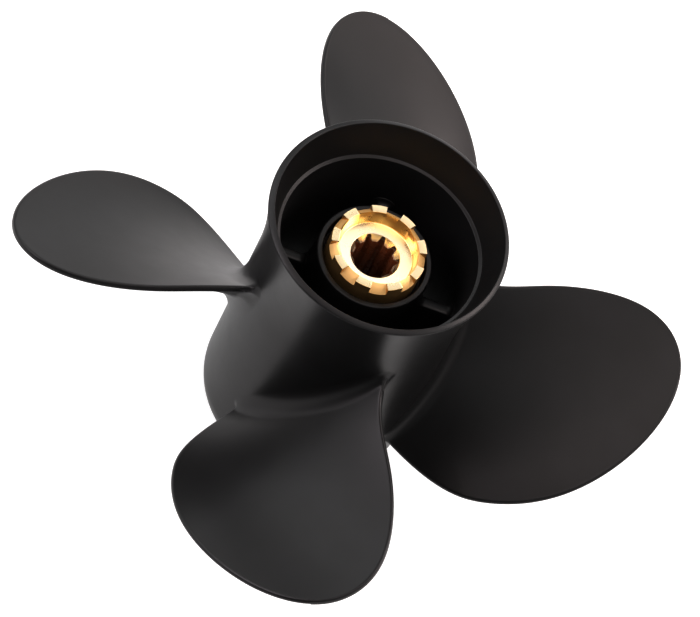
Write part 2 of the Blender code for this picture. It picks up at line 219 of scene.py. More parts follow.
@dataclass(frozen=True)
class TurnedBrass:
    """Bright brass, turned on a lathe, then milled for the notches and broached for the spline."""

    sleeve: SplineSleeve
    name: str = "turned_brass"
    deep: str = "#e9c079"
    pale: str = "#f4d089"
    # Painted sheen: the level aft faces are painted paler and whiter, the teeth tops with the dimmer
    # of these two colours.
    floor_sheen: str = "#ecdcb9"
    teeth_sheen: str = "#c8b897"
    lead_in: str = "#d9cdb4"
    cut: str = "#e2ba7c"
    # Painted shade: the bore turns dark brown below its mouth.
    painted_bore_shade: str = "#70422a"
    roughness: Pair = (0.25, 0.32)
    cut_roughness: float = 0.45
    # A dull film on the milled slopes hides part of the metal. In the bore, a low metallic lets the
    # painted dark brown shade show.
    milled_metallic: float = 0.5
    bore_shade_metallic: float = 0.15
    stain_mm: float = 5.0
    # The real tool rings are closer. They are drawn as coarse as they need to be to show.
    groove_mm: float = 0.35
    groove_height_mm: float = 0.0005
    # How far a face looks aft, from -1 to 1, which tells the level, tilted and steep ones apart.
    level_facing: Pair = (0.90, 0.97)
    tilted_facing: float = 0.4
    steep_facing: float = 0.85
    # Reach of the teeth tops' dimmer painted sheen.
    teeth_sheen_margin_mm: float = 0.1
    cut_margin_mm: float = 0.15
    # Depths below the bore's mouth over which the painted shade sets in.
    bore_shade_depth_mm: Pair = (1.6, 2.8)

    def masks(self, tree: NodeTree, reach: NodeSocket, facing: NodeSocket,
              height: NodeSocket) -> dict[str, Node]:
        """Tell apart the places of the sleeve: the level faces that get a painted sheen, the cut
        faces, and the bore that gets a painted shade.

        Args:
            tree: Node tree of the material.
            reach: Distance from the shaft axis.
            facing: How far the face looks aft.
            height: Height along the shaft.

        Returns:
            The node that gives each mask, by the mask's name.
        """
        ring = self.sleeve.ring_inner
        mouth = self.sleeve.bore_mouth
        tests = {
            "outer": ("GREATER_THAN", reach, ring - self.teeth_sheen_margin_mm * MM),
            "beyond": ("GREATER_THAN", reach, ring + self.cut_margin_mm * MM),
            "inside": ("LESS_THAN", reach, self.sleeve.bore_reach),
            "steep": ("LESS_THAN", facing, self.steep_facing),
            "tilted": ("GREATER_THAN", facing, self.tilted_facing),
        }
        masks = {name: add_node(tree, "ShaderNodeMath", {0: value, 1: limit}, operation=operation)
                 for name, (operation, value, limit) in tests.items()}
        ramps = {
            "level": (facing, *self.level_facing),
            "sunk": (height, *(mouth - depth * MM for depth in self.bore_shade_depth_mm)),
        }
        for name, (value, start, end) in ramps.items():
            masks[name] = add_node(tree, "ShaderNodeMapRange",
                                   {"Value": value, "From Min": start, "From Max": end})
        # The painted shade of the bore covers the inside below the mouth and grows with depth.
        pairs = {"cut": ("steep", "beyond"), "milled": ("cut", "tilted"), "bore_shade": ("inside", "sunk")}
        for name, (first, second) in pairs.items():
            masks[name] = add_node(tree, "ShaderNodeMath", {0: masks[first], 1: masks[second]},
                                   operation="MULTIPLY")
        return masks

    def colour(self, tree: NodeTree, place: NodeSocket, masks: dict[str, Node]) -> Node:
        """Lay the colours over each other.

        Args:
            tree: Node tree of the material.
            place: Where the stains are read.
            masks: Masks of the sleeve's places.

        Returns:
            The node that gives the colour.
        """
        shade = mottle(tree, place, self.stain_mm, self.deep, self.pale)
        # Painted sheen on the level aft faces, dimmer on the teeth tops.
        painted_sheen = add_node(tree, "ShaderNodeMixRGB",
                        {"Fac": masks["outer"], "Color1": hex_to_linear(self.floor_sheen),
                         "Color2": hex_to_linear(self.teeth_sheen)})
        layers = {"level": painted_sheen, "inside": hex_to_linear(self.lead_in),
                  "cut": hex_to_linear(self.cut), "bore_shade": hex_to_linear(self.painted_bore_shade)}
        for name, layer in layers.items():
            shade = add_node(tree, "ShaderNodeMixRGB",
                             {"Fac": masks[name], "Color1": shade, "Color2": layer})
        return shade

    def build(self) -> Material:
        """Build the brass.

        Returns:
            The material.
        """
        # Turning leaves fine rings round the shaft, which draw the highlights out. A painted sheen
        # makes the level aft faces paler and whiter, less so on the teeth tops. The milled slopes and
        # the rough outside are duller and browner, and a painted shade makes the bore dark brown below
        # its mouth.
        material, tree, shader = blank_material(self.name)
        coordinates = add_node(tree, "ShaderNodeTexCoord")
        place = coordinates.outputs["Object"]
        parts = add_node(tree, "ShaderNodeSeparateXYZ", {"Vector": place})
        across = add_node(tree, "ShaderNodeCombineXYZ",
                          {"X": parts.outputs["X"], "Y": parts.outputs["Y"]})
        length = add_node(tree, "ShaderNodeVectorMath", {0: across}, operation="LENGTH")
        reach = length.outputs["Value"]
        facing = add_node(tree, "ShaderNodeSeparateXYZ", {"Vector": coordinates.outputs["Normal"]})
        masks = self.masks(tree, reach, facing.outputs["Z"], parts.outputs["Z"])
        turned = soft_patches(tree, place, self.stain_mm, *self.roughness, detail=3.0)
        gloss = add_node(tree, "ShaderNodeMix",
                         {"Factor": masks["cut"], "A": turned, "B": self.cut_roughness})
        bare = add_node(tree, "ShaderNodeMath",
                        {0: masks["milled"], 1: self.milled_metallic - 1.0, 2: 1.0},
                        operation="MULTIPLY_ADD")
        # In the bore the metallic drops, so that the painted dark shade shows.
        bore_shaded_metallic = add_node(tree, "ShaderNodeMath",
                         {0: masks["bore_shade"], 1: self.bore_shade_metallic - 1.0, 2: bare},
                         operation="MULTIPLY_ADD")
        turn = add_node(tree, "ShaderNodeMath",
                        {0: reach, 1: math.tau / (self.groove_mm * MM)}, operation="MULTIPLY")
        wave = add_node(tree, "ShaderNodeMath", {0: turn}, operation="SINE")
        grooves = add_node(tree, "ShaderNodeBump",
                           {"Height": wave, "Distance": self.groove_height_mm * MM})
        set_inputs(tree, shader, {"Base Color": self.colour(tree, place, masks),
                                  "Roughness": gloss, "Metallic": bore_shaded_metallic, "Normal": grooves})
        return material


@dataclass(frozen=True)
class MouldedRubber:
    """Black natural rubber, moulded and bonded in the hub."""

    name: str = "moulded_rubber"
    dark: str = "#17110d"
    dusty: str = "#241a14"
    bloom_mm: float = 4.0
    grain_mm: float = 0.8
    grain_height_mm: float = 0.02
    roughness: float = 0.7

    def build(self) -> Material:
        """Build the rubber.

        Returns:
            The material.
        """
        # Moulded rubber is matt and nearly black, with a faint brown bloom in patches.
        material, tree, shader = blank_material(self.name)
        place = add_node(tree, "ShaderNodeTexCoord").outputs["Object"]
        grain = add_node(tree, "ShaderNodeTexNoise",
                         {"Vector": place, "Scale": 1 / (self.grain_mm * MM), "Detail": 3.0})
        relief = add_node(tree, "ShaderNodeBump",
                          {"Height": grain, "Distance": self.grain_height_mm * MM})
        set_inputs(tree, shader, {
            "Base Color": mottle(tree, place, self.bloom_mm, self.dark, self.dusty),
            "Roughness": self.roughness, "Normal": relief})
        return material


@dataclass(frozen=True)
class TablePaint:
    """Matt pale paint on a table that is lit from below."""

    name: str = "pale_floor_paint"
    colour: str = "#b4b4b4"
    roughness: float = 0.9
    specular: float = 0.1
    light: str = "#ffffff"
    glow: float = 0.8

    def build(self) -> Material:
        """Build the paint.

        Returns:
            The material.
        """
        # The light from below hides the soft shadows, so that the table looks plain white.
        material, tree, shader = blank_material(self.name)
        set_inputs(tree, shader, {
            "Base Color": hex_to_linear(self.colour), "Roughness": self.roughness,
            "Specular IOR Level": self.specular, "Emission Color": hex_to_linear(self.light),
            "Emission Strength": self.glow})
        return material


def link_object(name: str, data: ID) -> Object:
    """Put an object with its mesh, light or camera into the scene."""
    thing = bpy.data.objects.new(name, data)
    bpy.context.scene.collection.objects.link(thing)
    return thing


def link_mesh(name: str, mesh: Mesh, material: Material) -> Object:
    """Put a mesh into the scene with its material.

    Args:
        name: Name of the piece.
        mesh: Finished mesh.
        material: Finish of the whole piece.

    Returns:
        The new object.
    """
    mesh.materials.clear()
    mesh.materials.append(material)
    return link_object(name, mesh)


def mesh_from_grid(name: str, points: np.ndarray, close_rows: bool, close_columns: bool) -> Mesh:
    """Make a smooth mesh of quads from a grid of points.

    Args:
        name: Name of the mesh.
        points: Array of rows by columns by three.
        close_rows: Whether the last row joins the first.
        close_columns: Whether the last column joins the first.

    Returns:
        The mesh, with shared points welded and its faces pointing out.
    """
    rows, columns = points.shape[:2]
    index = np.arange(rows * columns).reshape(rows, columns)
    index = np.pad(index, ((0, int(close_rows)), (0, int(close_columns))), mode="wrap")
    quads = np.stack([index[:-1, :-1], index[:-1, 1:], index[1:, 1:], index[1:, :-1]], axis=-1)
    mesh = bpy.data.meshes.new(name)
    mesh.from_pydata(points.reshape(-1, 3).tolist(), [], quads.reshape(-1, 4).tolist())
    shape = bmesh.new()
    shape.from_mesh(mesh)
    bmesh.ops.remove_doubles(shape, verts=shape.verts, dist=WELD_DISTANCE)
    bmesh.ops.dissolve_degenerate(shape, edges=shape.edges, dist=SHORTEST_EDGE)
    bmesh.ops.recalc_face_normals(shape, faces=shape.faces)
    shape.to_mesh(mesh)
    shape.free()
    mesh.shade_smooth()
    return mesh


def polar_points(radius: np.ndarray, angle: np.ndarray | float,
                 height: np.ndarray | float) -> np.ndarray:
    """Turn polar places into points in space.

    Args:
        radius: Distance of each point from the shaft axis.
        angle: Angle of each point, in radians.
        height: Height of each point.

    Returns:
        The points, with their coordinates along the last axis.
    """
    radius, angle, height = np.broadcast_arrays(radius, angle, height)
    return np.stack([radius * np.cos(angle), radius * np.sin(angle), height], axis=-1)


def smooth_share(share: np.ndarray) -> np.ndarray:
    """Cut a share to 0 and 1, with a soft start and end."""
    share = np.clip(share, 0, 1)
    return share * share * (3 - 2 * share)


@dataclass(frozen=True)
class Corner:
    """Corner of a turned profile, with the radius of its rounding."""

    radius: float
    height: float
    rounding: float = 0.0


def rounded_profile(corners: Sequence[Corner], steps: int = 6) -> list[Pair]:
    """Round the corners of a closed profile.

    Args:
        corners: Corners in order.
        steps: Number of spans of each rounding.

    Returns:
        Radius and height of each point.
    """
    points: list[Pair] = []
    places = [Vector((corner.radius, corner.height)) for corner in corners]
    for i, corner in enumerate(corners):
        here = places[i]
        if corner.rounding == 0.0:
            points.append(tuple(here))
            continue
        back = places[i - 1] - here
        ahead = places[(i + 1) % len(places)] - here
        half = back.angle(ahead) / 2
        longest = ROUNDING_SHARE * min(back.length, ahead.length)
        reach = min(corner.rounding / math.tan(half), longest)
        inward = (back.normalized() + ahead.normalized()).normalized()
        centre = here + inward * (reach * math.tan(half) / math.sin(half))
        start = here + back.normalized() * reach - centre
        sweep = math.copysign(math.pi - 2 * half, back.cross(ahead))
        for step in range(steps + 1):
            points.append(tuple(centre + Matrix.Rotation(-sweep * step / steps, 2) @ start))
    return points


def turned_mesh(name: str, profile: Sequence[Pair], sides: int) -> Mesh:
    """Turn a closed profile about the shaft.

    Args:
        name: Name of the mesh.
        profile: Radius and height of each point.
        sides: Number of steps round the shaft.

    Returns:
        The turned mesh.
    """
    outline = np.array(profile)
    turn = np.arange(sides) * (math.tau / sides)
    points = polar_points(outline[:, :1], turn, outline[:, 1:])
    return mesh_from_grid(name, points, close_rows=True, close_columns=True)


def aimed_axes(azimuth: float, elevation: float) -> Matrix:
    """Return the axes, with +Z outward, of a lamp or camera that looks at the propeller."""
    tilt = Matrix.Rotation(math.radians(90 - elevation), 4, "X")
    return Matrix.Rotation(math.radians(azimuth), 4, "Z") @ tilt


def turned_copies(base: Mesh, count: int, first_angle: float) -> list[Mesh]:
    """Repeat a mesh round the shaft.

    Args:
        base: Mesh that lies along +X.
        count: Number of copies.
        first_angle: Angle of the first one.

    Returns:
        The turned copies.
    """
    copies = []
    for i in range(count):
        mesh = base.copy()
        mesh.transform(Matrix.Rotation(math.radians(first_angle + 360 * i / count), 4, "Z"))
        copies.append(mesh)
    return copies


@dataclass
class Barrel:
    """Outer barrel: rounded nose, straight tube and flared exhaust rim."""

    node: str = "outer_barrel"
    height: float = 0.128
    radius: float = 0.0404
    nose_inset: float = 0.005
    nose_length: float = 0.010
    tube_margin: float = 0.004
    flare_start: float = 0.083
    lip_radius: float = 0.0458
    lip_drop: float = 0.0012
    lip_run: float = 0.0012
    lip_rounding: float = 0.0008
    mouth_radius: float = 0.04365
    ledge_depth: float = 0.0148
    ledge_radii: Pair = (0.0390, 0.0377)
    ledge_fall: float = 0.0005
    edge_rounding: float = 0.0003
    tube_radius: float = 0.0356
    tube_step_depth: float = 0.0400
    tube_rounding: float = 0.0040
    front_mouth_radius: float = 0.0335
    front_roundings: Pair = (0.0020, 0.0006)
    # The core of the casting sat a little off the axis, most of all near the rim.
    core_shift: float = 0.0003
    core_start: float = 0.040
    core_run: float = 0.030
    core_skin: float = 0.0012
    sides: int = 288
    nose_steps: int = 14
    tube_steps: int = 12
    flare_steps: int = 26

    @property
    def lip_height(self) -> float:
        """Height of the lip's outer edge."""
        return self.height - self.lip_drop

    def outer_radius(self, height: np.ndarray | float) -> np.ndarray | float:
        """Return the outer radius at a height past the nose."""
        share = np.maximum(0.0, (height - self.flare_start) / (self.lip_height - self.flare_start))
        return self.radius + (self.lip_radius - self.radius) * share ** 2

    def inner_radius(self, height: np.ndarray) -> np.ndarray:
        """Return the radius of the tube's wall at heights below the ledge."""
        return np.interp(self.height - height, (self.ledge_depth, self.tube_step_depth),
                         (self.ledge_radii[1], self.tube_radius))

    def profile(self) -> list[Pair]:
        """Trace the closed profile, from the nose up the outside and down the inside.

        Returns:
            Radius and height of each point.
        """
        outside: list[Pair] = []
        for turn in np.linspace(0.0, math.pi / 2, self.nose_steps):
            outside.append((self.radius - self.nose_inset * (1 - math.sin(turn)),
                            self.nose_length * (1 - math.cos(turn))))
        tube = np.linspace(self.nose_length + self.tube_margin,
                           self.flare_start - self.tube_margin, self.tube_steps)
        flare = np.linspace(self.flare_start, self.lip_height - self.lip_run, self.flare_steps)
        for height in (*tube, *flare):
            outside.append((float(self.outer_radius(height)), float(height)))
        ledge = self.height - self.ledge_depth
        inside = rounded_profile([
            Corner(*outside[-1]),
            Corner(self.lip_radius, self.lip_height, self.lip_rounding),
            Corner(self.mouth_radius, self.height, self.edge_rounding),
            Corner(self.ledge_radii[0], ledge, self.edge_rounding),
            Corner(self.ledge_radii[1], ledge - self.ledge_fall, self.edge_rounding),
            Corner(self.tube_radius, self.height - self.tube_step_depth, self.tube_rounding),
            Corner(self.tube_radius, self.nose_length, self.front_roundings[0]),
            Corner(self.front_mouth_radius, 0.0, self.front_roundings[1]),
            Corner(*outside[0]),
        ])
        return outside[:-1] + inside[:-1]

    def shift_core(self, mesh: Mesh) -> None:
        """Move the aft part of the inside off the axis, as the casting's core was.

        Args:
            mesh: The turned barrel.
        """
        places = np.empty(len(mesh.vertices) * 3)
        mesh.vertices.foreach_get("co", places)
        places = places.reshape(-1, 3)
        reach = np.hypot(places[:, 0], places[:, 1])
        inside = reach < self.outer_radius(places[:, 2]) - self.core_skin
        share = np.clip((places[:, 2] - self.core_start) / self.core_run, 0, 1)
        places[:, 0] += self.core_shift * inside * share
        mesh.vertices.foreach_set("co", places.ravel())

    def build(self, paint: Material) -> Object:
        """Build the barrel.

        Args:
            paint: Enamel of the casting.

        Returns:
            The barrel, standing for its node.
        """
        mesh = turned_mesh("barrel_casting", self.profile(), self.sides)
        self.shift_core(mesh)
        piece = link_mesh("barrel_casting", mesh, paint)
        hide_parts(self.node)
        return piece


def bspline(controls: np.ndarray, count: int) -> np.ndarray:
    """Sample a cubic B-spline that starts and ends on its end controls.

    Args:
        controls: Control points in the plane.
        count: Number of samples.

    Returns:
        The sampled points.
    """
    last = len(controls) - 1
    knots = np.concatenate(([0.0] * 3, np.linspace(0, 1, last - 1), [1.0] * 3))
    place = np.linspace(0, 1, count)
    span = np.clip(np.searchsorted(knots, place, side="right") - 1, 3, last)
    work = [controls[span - 3 + i] for i in range(4)]
    for level in range(1, 4):
        for i in range(3, level - 1, -1):
            low = knots[span - 3 + i]
            share = ((place - low) / (knots[span + 1 + i - level] - low))[:, None]
            work[i] = (1 - share) * work[i - 1] + share * work[i]
    return work[3]


@dataclass
class Blades:
    """The four blades: one cupped, helical shape with a soft root fillet, turned round the barrel.

    The outline lists a spline's controls, each a radius and an angle, from the leading edge's
    root round the tip to the trailing edge's root. Places across the chord run from -1 at
    the leading edge to 1 at the trailing edge.
    """

    barrel: Barrel
    count: int = 4
    first_angle: float = 20.0
    pitch: float = 0.340
    reference_radius: float = 0.0435
    reference_height: float = 0.0696
    rake_slope: float = -0.080
    rake_curl: float = 1.54
    cup: float = 0.237
    edge: float = 0.0024
    edge_squareness: Pair = (2.0, 3.5)
    root_thickness: float = 0.0085
    tip_thickness: float = 0.0032
    taper_power: float = 0.8
    swell_run: float = 0.008
    face_fillet: float = 0.0070
    edge_fillet: float = 0.0025
    fillet_fade: float = 0.022
    apron: float = 0.0006
    tip_sag: float = 0.022
    sag_start: float = 0.070
    outline: tuple[Pair, ...] = (
        (0.0350, -45.5), (0.0670, -46.0), (0.0865, -41.0), (0.1095, -29.0), (0.1270, -13.5),
        (0.1345, 0.0), (0.1185, 10.5), (0.0765, 15.5), (0.0485, 11.0), (0.0350, 24.5),
    )
    outline_samples: int = 6001
    rim_step: int = 12
    fillet_rows: int = 16
    span_rows: int = 110
    chord_columns: int = 44
    edge_columns: int = 8
    edge_band: float = 0.045
    leading: np.ndarray = field(init=False)
    trailing: np.ndarray = field(init=False)
    rim: np.ndarray = field(init=False)

    def __post_init__(self) -> None:
        """Sample the outline and split it at the tip, each edge as rows of radius and angle."""
        radius, angle = np.array(self.outline).T
        controls = polar_points(radius, np.radians(angle), 0.0)[:, :2]
        line = bspline(controls, self.outline_samples)
        radius = np.hypot(line[:, 0], line[:, 1])
        angle = np.arctan2(line[:, 1], line[:, 0])
        tip = int(radius.argmax())
        self.leading = np.stack([radius[:tip + 1], angle[:tip + 1]])
        self.trailing = np.stack([radius[tip:][::-1], angle[tip:][::-1]])
        self.rim = self.face(radius[::self.rim_step], angle[::self.rim_step])

    @property
    def tip_radius(self) -> float:
        """Radius of the tip."""
        return float(self.leading[0, -1])

    def face(self, radius: np.ndarray, angle: np.ndarray) -> np.ndarray:
        """Find points of the middle surface.

        Args:
            radius: Distances from the shaft axis.
            angle: Angles in radians.

        Returns:
            The point at each place.
        """
        out = radius - self.reference_radius
        raked = self.reference_height + self.rake_slope * out + self.rake_curl * out ** 2
        height = raked + self.pitch * angle / math.tau + self.cup * out * angle ** 2
        return polar_points(radius, angle, height)

    def normal(self, radius: np.ndarray, angle: np.ndarray) -> np.ndarray:
        """Find the unit normals of the middle surface from two short steps.

        Args:
            radius: Distances from the shaft axis.
            angle: Angles in radians.

        Returns:
            The normals, pointing aft.
        """
        step = 0.01 * MM
        here = self.face(radius, angle)
        out = self.face(radius + step, angle) - here
        along = self.face(radius, angle + step / radius) - here
        across = np.cross(out, along)
        return across / np.linalg.norm(across, axis=-1, keepdims=True)

    def rim_distance(self, points: np.ndarray) -> np.ndarray:
        """Measure how far points lie from the blade's outline.

        Args:
            points: Points of the middle surface.

        Returns:
            The distance of each.
        """
        flat = points.reshape(-1, 3)
        best = np.full(len(flat), np.inf)
        for first, along in zip(self.rim[:-1], np.diff(self.rim, axis=0)):
            share = np.clip((flat - first) @ along / (along @ along), 0, 1)
            gap = np.linalg.norm(flat - first - share[:, None] * along, axis=1)
            np.minimum(best, gap, out=best)
        return best.reshape(points.shape[:-1])

    def columns(self) -> np.ndarray:
        """Space the columns of points across the chord, dense at both edges.

        Returns:
            The place of each column.
        """
        turn = np.linspace(0, math.pi / 2, self.edge_columns + 1)[:-1]
        near_edge = self.edge_band * (1 - np.cos(turn))
        middle = np.linspace(self.edge_band, 2 - self.edge_band, self.chord_columns)
        return np.concatenate([near_edge, middle, (2 - near_edge)[::-1]]) - 1

    def rows(self, place: np.ndarray) -> tuple[np.ndarray, np.ndarray, np.ndarray]:
        """Lay out the rows of the blade.

        Args:
            place: Places across the chord.

        Returns:
            Radius of each point, the fillet's stand-off, and the share of barrel flare.
        """
        bow = 1 - place ** 2
        fillet = self.edge_fillet + (self.face_fillet - self.edge_fillet) * np.sqrt(bow)
        turn = np.linspace(0, math.pi / 2, self.fillet_rows + 1)[:, None]
        low = self.barrel.radius + fillet * (1 - np.cos(turn))
        stand = fillet * (1 - np.sin(turn))
        low = np.vstack([low[:1], low])
        stand = np.vstack([stand[:1] + self.apron, stand])
        share = np.sin(np.linspace(0, math.pi / 2, self.span_rows + 1)[1:])[:, None]
        first = self.barrel.radius + self.face_fillet
        base = first + (self.tip_radius - first) * share
        fade = smooth_share(1 - (base - first) / self.fillet_fade)
        sag = smooth_share((base - self.sag_start) / (self.tip_radius - self.sag_start))
        high = base - (self.face_fillet - fillet) * fade - self.tip_sag * sag * bow
        flare = np.vstack([np.ones_like(low), np.broadcast_to(fade, high.shape)])
        return np.vstack([low, high]), np.vstack([stand, np.zeros_like(high)]), flare

    def sides(self) -> tuple[np.ndarray, np.ndarray, np.ndarray, np.ndarray, np.ndarray]:
        """Build both sides of the blade without its fillet.

        Returns:
            The aft and the forward surface, and the stand-off, flare and radius of each point.
        """
        place = self.columns()
        radius, stand, flare = self.rows(place)
        lead = np.interp(radius[:, :1], *self.leading)
        trail = np.interp(radius[:, :1], *self.trailing)
        angle = lead + (trail - lead) * (place + 1) / 2
        middle = self.face(radius, angle)
        normal = self.normal(radius, angle)
        gap = self.rim_distance(middle)
        half = self.edge / 2
        near = np.clip(gap / half, 0, 1)
        squareness = np.interp(place, (0, 1), self.edge_squareness)
        round_off = (1 - (1 - near) ** squareness) ** (1 / squareness)
        span = (radius - self.barrel.radius) / (self.tip_radius - self.barrel.radius)
        taper = np.clip(span, 0, 1) ** self.taper_power
        thickest = self.root_thickness + (self.tip_thickness - self.root_thickness) * taper
        swell = (thickest - self.edge) * (1 - place ** 2) * np.clip(gap / self.swell_run, 0, 1)
        aft = middle + normal * (half * round_off)[..., None]
        forward = middle - normal * (half * round_off + swell)[..., None]
        return aft, forward, stand, flare, radius

    def spread_foot(self, rings: np.ndarray, stand: np.ndarray, radius: np.ndarray) -> np.ndarray:
        """Spread the rings of the root over the barrel, which makes the fillet.

        Args:
            rings: Rings of points.
            stand: How far each point moves out along the barrel.
            radius: Radius of each point.

        Returns:
            The spread rings.
        """
        arc = np.arctan2(rings[..., 1], rings[..., 0]) * radius
        flat = np.stack([arc, rings[..., 2]], axis=-1)
        run = np.roll(flat, -1, axis=1) - np.roll(flat, 1, axis=1)
        run /= np.linalg.norm(run, axis=-1, keepdims=True)
        outward = np.stack([-run[..., 1], run[..., 0]], axis=-1)
        facing = ((flat - flat.mean(axis=1, keepdims=True)) * outward).sum(axis=(1, 2))
        outward *= np.sign(facing)[:, None, None]
        flat = flat + outward * stand[..., None]
        return polar_points(radius, flat[..., 0] / radius, flat[..., 1])

    def loop(self) -> np.ndarray:
        """Join the sides into closed rings, from the barrel to the tip.

        Returns:
            Array of rings by points by three.
        """
        aft, forward, *layout = self.sides()
        rings = np.concatenate([aft, forward[:, -2:0:-1]], axis=1)
        stand, flare, radius = (np.concatenate([grid, grid[:, -2:0:-1]], axis=1)
                                for grid in layout)
        foot = slice(self.fillet_rows + 2)
        rings[foot] = self.spread_foot(rings[foot], stand[foot], radius[foot])
        push = (self.barrel.outer_radius(rings[..., 2]) - self.barrel.radius) * flare
        reach = np.hypot(rings[..., 0], rings[..., 1])
        rings[..., :2] *= ((reach + push) / reach)[..., None]
        return rings

    def mesh(self) -> Mesh:
        """Return one blade, whose first rows lie on the barrel to hide the joint."""
        return mesh_from_grid("blade_casting", self.loop(), close_rows=False, close_columns=True)

    def build(self, paint: Material) -> list[Object]:
        """Build the blades.

        Args:
            paint: Enamel of the casting.

        Returns:
            The blades, each standing for its node.
        """
        pieces = []
        for i, mesh in enumerate(turned_copies(self.mesh(), self.count, self.first_angle)):
            piece = link_mesh(f"blade_casting_{i + 1}", mesh, paint)
            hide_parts(f"blade_{i + 1}")
            pieces.append(piece)
        return pieces


@dataclass
class InnerHub:
    """Tapered tube inside the barrel that holds the rubber, a little off the axis."""

    barrel: Barrel
    node: str = "inner_hub"
    aft_depth: float = 0.0228
    aft_radius: float = 0.0220
    aft_roundings: Pair = (0.0007, 0.0005)
    front_radius: float = 0.0245
    front_height: float = 0.006
    front_roundings: Pair = (0.0010, 0.0006)
    bore_radius: float = 0.0197
    shoulder_radius: float = 0.0170
    shoulder_height: float = 0.0140
    shoulder_rounding: float = 0.0005
    sides: int = 192
    offset: float = 0.00045

    @property
    def aft_height(self) -> float:
        """Height of the hub's aft end."""
        return self.barrel.height - self.aft_depth

    def outer_radius(self, height: np.ndarray | float) -> np.ndarray | float:
        """Return the outer radius at a height."""
        share = (height - self.front_height) / (self.aft_height - self.front_height)
        return self.front_radius + (self.aft_radius - self.front_radius) * share

    def build(self, paint: Material) -> Object:
        """Build the hub.

        Args:
            paint: Enamel of the casting.

        Returns:
            The hub, standing for its node.
        """
        profile = rounded_profile([
            Corner(self.shoulder_radius, self.front_height, self.front_roundings[1]),
            Corner(self.front_radius, self.front_height, self.front_roundings[0]),
            Corner(self.aft_radius, self.aft_height, self.aft_roundings[0]),
            Corner(self.bore_radius, self.aft_height, self.aft_roundings[1]),
            Corner(self.bore_radius, self.shoulder_height, self.shoulder_rounding),
            Corner(self.shoulder_radius, self.shoulder_height, self.shoulder_rounding),
        ])
        mesh = turned_mesh("hub_casting", profile, self.sides)
        mesh.transform(Matrix.Translation((self.offset, 0.0, 0.0)))
        piece = link_mesh("hub_casting", mesh, paint)
        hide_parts(self.node)
        return piece


@dataclass
class Ribs:
    """Straight ribs between the hub and the barrel, with fillets at both ends."""

    barrel: Barrel
    hub: InnerHub
    count: int = 4
    first_angle: float = 10.0
    top_depth: float = 0.0395
    foot_height: float = 0.014
    top_thickness: float = 0.0044
    foot_thickness: float = 0.0060
    # How high the rounded top and foot are, in halves of the thickness.
    top_crown: float = 0.35
    foot_crown: float = 0.6
    fillet: float = 0.0025
    fillet_steps: int = 8
    crown_steps: int = 13

    def section(self) -> np.ndarray:
        """Trace the closed section across a rib.

        Returns:
            Side and height of each point.
        """
        turn = np.linspace(0, math.pi, self.crown_steps)
        fall = 1 - np.sin(turn)
        top = self.barrel.height - self.top_depth
        half_top = self.top_thickness / 2
        half_foot = self.foot_thickness / 2
        crown = (half_top * np.cos(turn), top - half_top * self.top_crown * fall)
        sole = (-half_foot * np.cos(turn), self.foot_height + half_foot * self.foot_crown * fall)
        return np.hstack([crown, sole]).T

    def mesh(self) -> Mesh:
        """Build one rib along +X, wider where it meets the hub and the barrel.

        Returns:
            The closed mesh.
        """
        section = self.section()
        run = np.roll(section, -1, axis=0) - np.roll(section, 1, axis=0)
        outward = np.stack([run[:, 1], -run[:, 0]], axis=1)
        outward /= np.linalg.norm(outward, axis=1, keepdims=True)
        inner: list[np.ndarray] = []
        outer: list[np.ndarray] = []
        for turn in np.linspace(0, math.pi / 2, self.fillet_steps):
            flat = section + outward * self.fillet * (1 - math.sin(turn))
            gap = self.fillet * (1 - math.cos(turn))
            near = np.sqrt(self.hub.outer_radius(flat[:, 1]) ** 2 - flat[:, 0] ** 2) + gap
            far = np.sqrt(self.barrel.inner_radius(flat[:, 1]) ** 2 - flat[:, 0] ** 2) - gap
            inner.append(np.column_stack([near, flat]))
            outer.insert(0, np.column_stack([far, flat]))
        caps = [np.broadcast_to(ring.mean(axis=0), ring.shape) for ring in (inner[0], outer[-1])]
        rows = np.array([caps[0], *inner, *outer, caps[1]])
        return mesh_from_grid("rib_casting", rows, close_rows=False, close_columns=True)

    def build(self, paint: Material) -> list[Object]:
        """Build the ribs.

        Args:
            paint: Enamel of the casting.

        Returns:
            The ribs, each standing for its node.
        """
        pieces = []
        for i, mesh in enumerate(turned_copies(self.mesh(), self.count, self.first_angle)):
            mesh.transform(Matrix.Translation((self.barrel.core_shift, 0.0, 0.0)))
            piece = link_mesh(f"rib_casting_{i + 1}", mesh, paint)
            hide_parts(f"rib_{i + 1}")
            pieces.append(piece)
        return pieces


